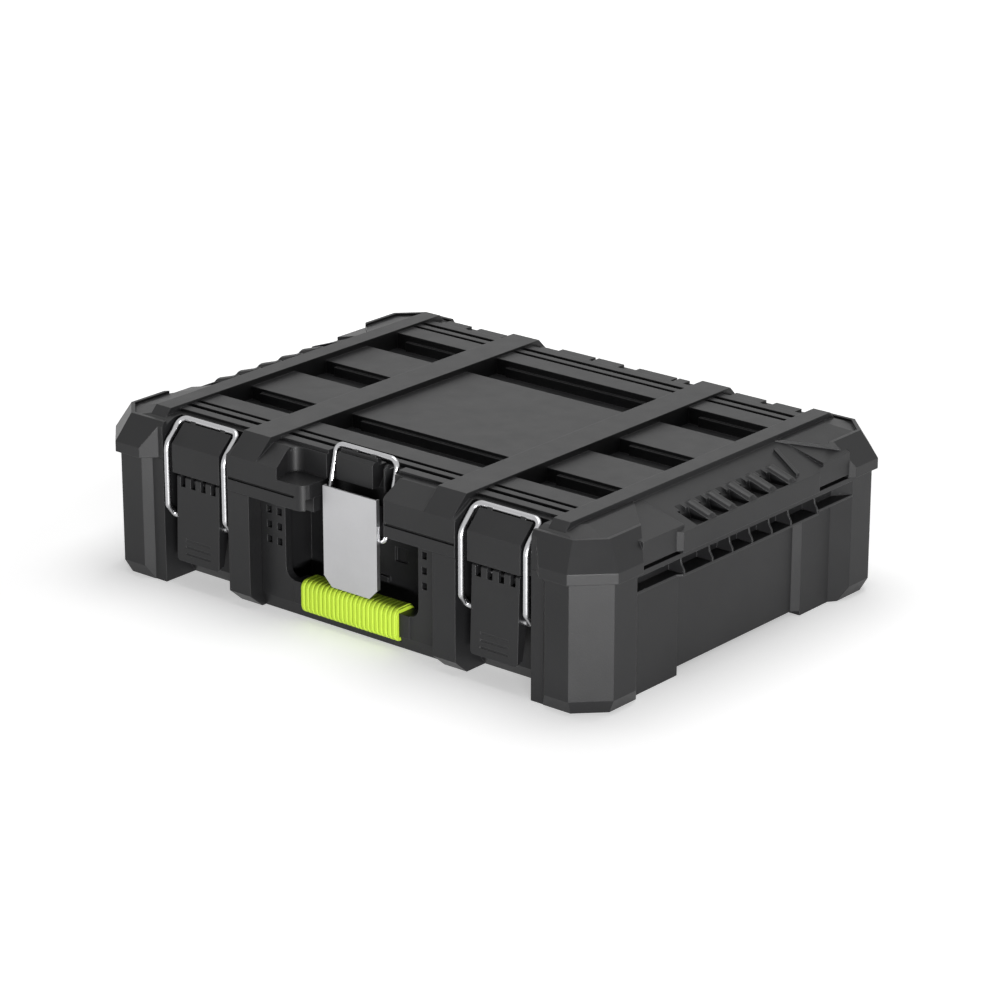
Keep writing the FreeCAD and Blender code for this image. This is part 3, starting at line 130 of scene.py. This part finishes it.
floor_half, pale_share = 6.0, 0.9
glow_near, glow_far, near_strength = 0.40, 1.1, 0.42
floor_mesh = bmesh.new()
bmesh.ops.create_grid(floor_mesh, x_segments=1, y_segments=1, size=floor_half)
floor_data = bpy.data.meshes.new("floor")
floor_mesh.to_mesh(floor_data)
floor_mesh.free()
floor = bpy.data.objects.new("floor", floor_data)
scene.collection.objects.link(floor)
pale = bpy.data.materials.new("pale_floor")
pale.use_nodes = True
pale_tree = pale.node_tree
pale_surface = pale_tree.nodes["Principled BSDF"]
pale_surface.inputs["Base Color"].default_value = (pale_share, pale_share, pale_share, 1.0)
pale_surface.inputs["Roughness"].default_value = 1.0
pale_surface.inputs["Specular IOR Level"].default_value = 0.0
glow = pale_tree.nodes.new("ShaderNodeEmission")
spot = pale_tree.nodes.new("ShaderNodeTexCoord")
reach = pale_tree.nodes.new("ShaderNodeVectorMath")
reach.operation = "LENGTH"
fade = pale_tree.nodes.new("ShaderNodeMapRange")
fade.inputs["From Min"].default_value = glow_near
fade.inputs["From Max"].default_value = glow_far
fade.inputs["To Min"].default_value = near_strength
fade.inputs["To Max"].default_value = plain_light
pale_tree.links.new(spot.outputs["Object"], reach.inputs[0])
pale_tree.links.new(reach.outputs["Value"], fade.inputs["Value"])
pale_tree.links.new(fade.outputs["Result"], glow.inputs["Strength"])
both_floors = pale_tree.nodes.new("ShaderNodeAddShader")
pale_tree.links.new(pale_surface.outputs[0], both_floors.inputs[0])
pale_tree.links.new(glow.outputs[0], both_floors.inputs[1])
white_to_the_eye(pale_tree, pale_surface.outputs[0],
                 pale_tree.nodes["Material Output"].inputs["Surface"], both_floors.outputs[0])
floor_data.materials.append(pale)


# Black plastic shells. The tub, the lid, the levers and the handle frame are moulded in
# black polypropylene with a fine spark-eroded grain, and a lighter colour along every edge
# is a painted highlight where edges catch the light.
def grain(tree, scale, strength, distance_m, coordinates, normal):
    """A fine bump on object coordinates for a moulded surface."""
    speckle = tree.nodes.new("ShaderNodeTexNoise")
    speckle.inputs["Scale"].default_value = scale
    speckle.inputs["Detail"].default_value = 3.0
    speckle.inputs["Roughness"].default_value = 0.6
    bump = tree.nodes.new("ShaderNodeBump")
    bump.inputs["Strength"].default_value = strength
    bump.inputs["Distance"].default_value = distance_m
    tree.links.new(coordinates, speckle.inputs["Vector"])
    tree.links.new(speckle.outputs["Fac"], bump.inputs["Height"])
    tree.links.new(normal, bump.inputs["Normal"])
    return bump.outputs["Normal"]


def tone(tree, coordinates, scale, low, high):
    """Slow drift between two colours over the surface."""
    drift = tree.nodes.new("ShaderNodeTexNoise")
    drift.inputs["Scale"].default_value = scale
    drift.inputs["Detail"].default_value = 4.0
    ramp = tree.nodes.new("ShaderNodeValToRGB")
    ramp.color_ramp.elements[0].position = 0.3
    ramp.color_ramp.elements[0].color = (*low, 1.0)
    ramp.color_ramp.elements[1].position = 0.7
    ramp.color_ramp.elements[1].color = (*high, 1.0)
    tree.links.new(coordinates, drift.inputs["Vector"])
    tree.links.new(drift.outputs["Fac"], ramp.inputs["Fac"])
    return ramp.outputs["Color"]


def soft_edges(tree, radius):
    """Normals that turn round every edge as on a moulding, and how near an edge is."""
    flat_agreement, edge_agreement = 0.99, 0.80
    round_over = tree.nodes.new("ShaderNodeBevel")
    round_over.samples = 6
    round_over.inputs["Radius"].default_value = radius
    flat = tree.nodes.new("ShaderNodeNewGeometry")
    same = tree.nodes.new("ShaderNodeVectorMath")
    same.operation = "DOT_PRODUCT"
    tree.links.new(round_over.outputs["Normal"], same.inputs[0])
    tree.links.new(flat.outputs["True Normal"], same.inputs[1])
    highlight_mask = tree.nodes.new("ShaderNodeMapRange")
    highlight_mask.inputs["From Min"].default_value = flat_agreement
    highlight_mask.inputs["From Max"].default_value = edge_agreement
    tree.links.new(same.outputs["Value"], highlight_mask.inputs["Value"])
    return round_over.outputs["Normal"], highlight_mask.outputs["Result"]


def plastic(name, low, high, edge_highlight, roughness, grain_scale, grain_strength, gloss):
    """Moulded plastic with grain, a slow change of tone, duller patches and a painted highlight along
    its edges.
    """
    edge_radius, grain_depth = 0.0008, 0.0002
    drift_scale, patch_scale = 14.0, 55.0
    glossier, duller = 0.05, 0.06
    material = bpy.data.materials.new(name)
    material.use_nodes = True
    tree = material.node_tree
    surface = tree.nodes["Principled BSDF"]
    coordinates = tree.nodes.new("ShaderNodeTexCoord").outputs["Object"]
    normal, highlight_mask = soft_edges(tree, edge_radius)
    grained = grain(tree, grain_scale, grain_strength, grain_depth, coordinates, normal)
    tree.links.new(grained, surface.inputs["Normal"])
    # Near every edge the colour turns lighter: a painted highlight where edges catch the light.
    highlight_mix = tree.nodes.new("ShaderNodeMix")
    highlight_mix.data_type = "RGBA"
    highlight_mix.inputs["B"].default_value = (*edge_highlight, 1.0)
    tree.links.new(highlight_mask, highlight_mix.inputs["Factor"])
    tree.links.new(tone(tree, coordinates, drift_scale, low, high), highlight_mix.inputs["A"])
    tree.links.new(highlight_mix.outputs["Result"], surface.inputs["Base Color"])
    patch = tree.nodes.new("ShaderNodeTexNoise")
    patch.inputs["Scale"].default_value = patch_scale
    span = tree.nodes.new("ShaderNodeMapRange")
    span.inputs["To Min"].default_value = roughness - glossier
    span.inputs["To Max"].default_value = roughness + duller
    tree.links.new(coordinates, patch.inputs["Vector"])
    tree.links.new(patch.outputs["Fac"], span.inputs["Value"])
    tree.links.new(span.outputs["Result"], surface.inputs["Roughness"])
    surface.inputs["Specular IOR Level"].default_value = gloss
    return material


def finish_node(name, material):
    """Gives a carried-over CAD solid its finish."""
    mesh = nodes[name].data
    mesh.materials.clear()
    mesh.materials.append(material)


# The lighter edge colour given here is a painted highlight along every edge.
black_plastic = plastic("black_plastic", low=(0.007, 0.007, 0.0075), high=(0.010, 0.010, 0.0105),
                        edge_highlight=(0.03, 0.03, 0.031), roughness=0.41, grain_scale=900.0,
                        grain_strength=0.3, gloss=0.28)
for name in ("handle_frame", "left_latch_lever", "right_latch_lever", "centre_latch_lever"):
    finish_node(name, black_plastic)


def along_x(across, up, place):
    """A point of an outline drawn on the side plane."""
    return (place, across, up)


def along_y(across, up, place):
    """A point of an outline drawn on the front plane."""
    return (across, place, up)


def along_z(across, up, place):
    """A point of an outline drawn on the top plane."""
    return (across, up, place)


def block(outline, low, high, spot):
    """A closed block: an outline at one place, drawn out to another along the third axis."""
    shape = bmesh.new()
    end = shape.faces.new([shape.verts.new(spot(across, up, low)) for across, up in outline])
    grown = bmesh.ops.extrude_face_region(shape, geom=[end])["geom"]
    far_end = [item for item in grown if isinstance(item, bmesh.types.BMVert)]
    bmesh.ops.translate(shape, verts=far_end,
                        vec=Vector(spot(0.0, 0.0, high)) - Vector(spot(0.0, 0.0, low)))
    bmesh.ops.recalc_face_normals(shape, faces=shape.faces[:])
    return shape


def carved(name, node, body, cuts, pads=()):
    """A moulding with its last small forms cut out or added, which stands for its solid."""
    same_spot = 0.000001
    shape = bmesh.new()
    shape.from_mesh(nodes[node].data)
    bmesh.ops.remove_doubles(shape, verts=shape.verts[:], dist=same_spot)
    data = bpy.data.meshes.new(name)
    shape.to_mesh(data)
    shape.free()
    piece = bpy.data.objects.new(name, data)
    scene.collection.objects.link(piece)
    for cutter_shape in (*cuts, *pads):
        cutter_data = bpy.data.meshes.new("cutter")
        cutter_shape.to_mesh(cutter_data)
        cutter_shape.free()
        cutter = bpy.data.objects.new("cutter", cutter_data)
        scene.collection.objects.link(cutter)
        cut = piece.modifiers.new("cut", "BOOLEAN")
        cut.operation = "UNION" if cutter_shape in pads else "DIFFERENCE"
        cut.solver = "EXACT"
        cut.object = cutter
        bpy.context.view_layer.update()
        finished = piece.evaluated_get(bpy.context.evaluated_depsgraph_get())
        after = bpy.data.meshes.new_from_object(finished)
        piece.modifiers.clear()
        piece.data = after
        bpy.data.objects.remove(cutter)
    piece.data.name = name
    piece.data.materials.clear()
    piece.data.materials.append(black_plastic)
    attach(piece, body)
    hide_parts(node)


# Lid moulding. The front ends of the two inner bars run flush into the sloped blocks beside
# the middle latch, the right block stands clear of the latch's plate, and a dark line runs
# across the face of both blocks.
bar_low, bar_high = 0.0881, 0.1170
knee_y, knee_z = -0.1880, 0.1285
bar_edge_y, bar_edge_z = -0.1697, 0.1450
bar_room = [
    (knee_y, knee_z), (bar_edge_y, bar_edge_z), (bar_edge_y, cad_high[2]),
    (cad_low[1], cad_high[2]), (cad_low[1], knee_z),
]
plate_gap_x, block_side_x, block_back_y, block_foot_z = 0.0365, 0.0460, -0.1620, 0.0970
round_x, round_start, round_share = 0.0030, 0.0001, 0.3
block_room = [
    (plate_gap_x, cad_low[1]), (block_side_x + round_x, cad_low[1]),
    (block_side_x + round_x, knee_y - round_start),
    (block_side_x + round_x * round_share, knee_y + round_x * round_share),
    (block_side_x, knee_y + round_x), (block_side_x, block_back_y), (plate_gap_x, block_back_y),
]
line_low, line_high, line_deep, line_start, line_stop = 0.1077, 0.1102, 0.0026, 0.0475, 0.1195
line_room = [
    (cad_low[1], line_low), (knee_y + line_deep, line_low),
    (knee_y + line_deep, line_high), (cad_low[1], line_high),
]
carved("lid_moulding", "lid_shell", "lid", [
    block(bar_room, bar_low, bar_high, along_x),
    block(bar_room, -bar_high, -bar_low, along_x),
    block(block_room, block_foot_z, cad_high[2], along_z),
    block(line_room, line_start, line_stop, along_x),
    block(line_room, -line_stop, -line_start, along_x),
])

# Tub moulding. The back wall of the hand pocket has a square hole beside the latch's plate
# and a small pad lower down.
hole_front_y, hole_back_y = -0.1400, -0.1325
hole = [(0.0126, 0.0542), (0.0258, 0.0542), (0.0258, 0.0666), (0.0126, 0.0666)]
pad_front_y, pad_back_y = -0.1385, -0.1340
pad = [(-0.0028, 0.0358), (0.0078, 0.0358), (0.0078, 0.0392), (0.0070, 0.0400), (-0.0028, 0.0400)]
carved("tub_moulding", "base_shell", "base",
       cuts=[block(hole, hole_front_y, hole_back_y, along_y)],
       pads=[block(pad, pad_front_y, pad_back_y, along_y)])

# Grip. A lime green sleeve of soft plastic is moulded round the carrying bar, with thin
# ribs all along for the fingers.
# The lighter edge colour given here is a painted highlight along every edge.
lime_plastic = plastic("lime_plastic", low=(0.34, 0.48, 0.026), high=(0.39, 0.54, 0.036),
                       edge_highlight=(0.44, 0.58, 0.07), roughness=0.5, grain_scale=700.0,
                       grain_strength=0.25, gloss=0.3)
finish_node("handle_grip", lime_plastic)


# Metal. The middle latch has a satin silver face, the bails are bright steel wire and the
# pins and screws are plain steel.
def metal(name, colour, roughness, streak):
    """Metal with fine drawn streaks in its gloss."""
    drift_scale, darker = 30.0, 0.94
    glossier, duller = 0.8, 1.2
    material = bpy.data.materials.new(name)
    material.use_nodes = True
    tree = material.node_tree
    surface = tree.nodes["Principled BSDF"]
    surface.inputs["Metallic"].default_value = 1.0
    coordinates = tree.nodes.new("ShaderNodeTexCoord").outputs["Object"]
    shaded = tuple(share * darker for share in colour)
    tree.links.new(tone(tree, coordinates, drift_scale, shaded, colour), surface.inputs["Base Color"])
    lines = tree.nodes.new("ShaderNodeTexNoise")
    lines.inputs["Scale"].default_value = streak
    span = tree.nodes.new("ShaderNodeMapRange")
    span.inputs["To Min"].default_value = roughness * glossier
    span.inputs["To Max"].default_value = roughness * duller
    tree.links.new(coordinates, lines.inputs["Vector"])
    tree.links.new(lines.outputs["Fac"], span.inputs["Value"])
    tree.links.new(span.outputs["Result"], surface.inputs["Roughness"])
    return material


satin_silver = metal("satin_silver", colour=(0.50, 0.50, 0.51), roughness=0.42, streak=400.0)
finish_node("centre_latch_cover", satin_silver)
bright_wire = metal("bright_wire", colour=(0.45, 0.45, 0.46), roughness=0.28, streak=250.0)
for name in ("left_latch_bail", "right_latch_bail", "centre_latch_bail"):
    finish_node(name, bright_wire)
plain_steel = metal("plain_steel", colour=(0.45, 0.45, 0.46), roughness=0.35, streak=300.0)
for name in ("left_latch_pin", "right_latch_pin", "centre_latch_pin",
             "left_hinge_pin", "right_hinge_pin", "handle_screws"):
    finish_node(name, plain_steel)

# Seal. A strip of black foam rubber lies in a groove under the lid's rim and closes on the
# top edge of the tub.
# The lighter edge colour given here is a painted highlight along every edge.
seal_rubber = plastic("seal_rubber", low=(0.014, 0.014, 0.014), high=(0.022, 0.022, 0.022),
                      edge_highlight=(0.03, 0.03, 0.03), roughness=0.8, grain_scale=1500.0,
                      grain_strength=0.5, gloss=0.2)
finish_node("lid_seal", seal_rubber)
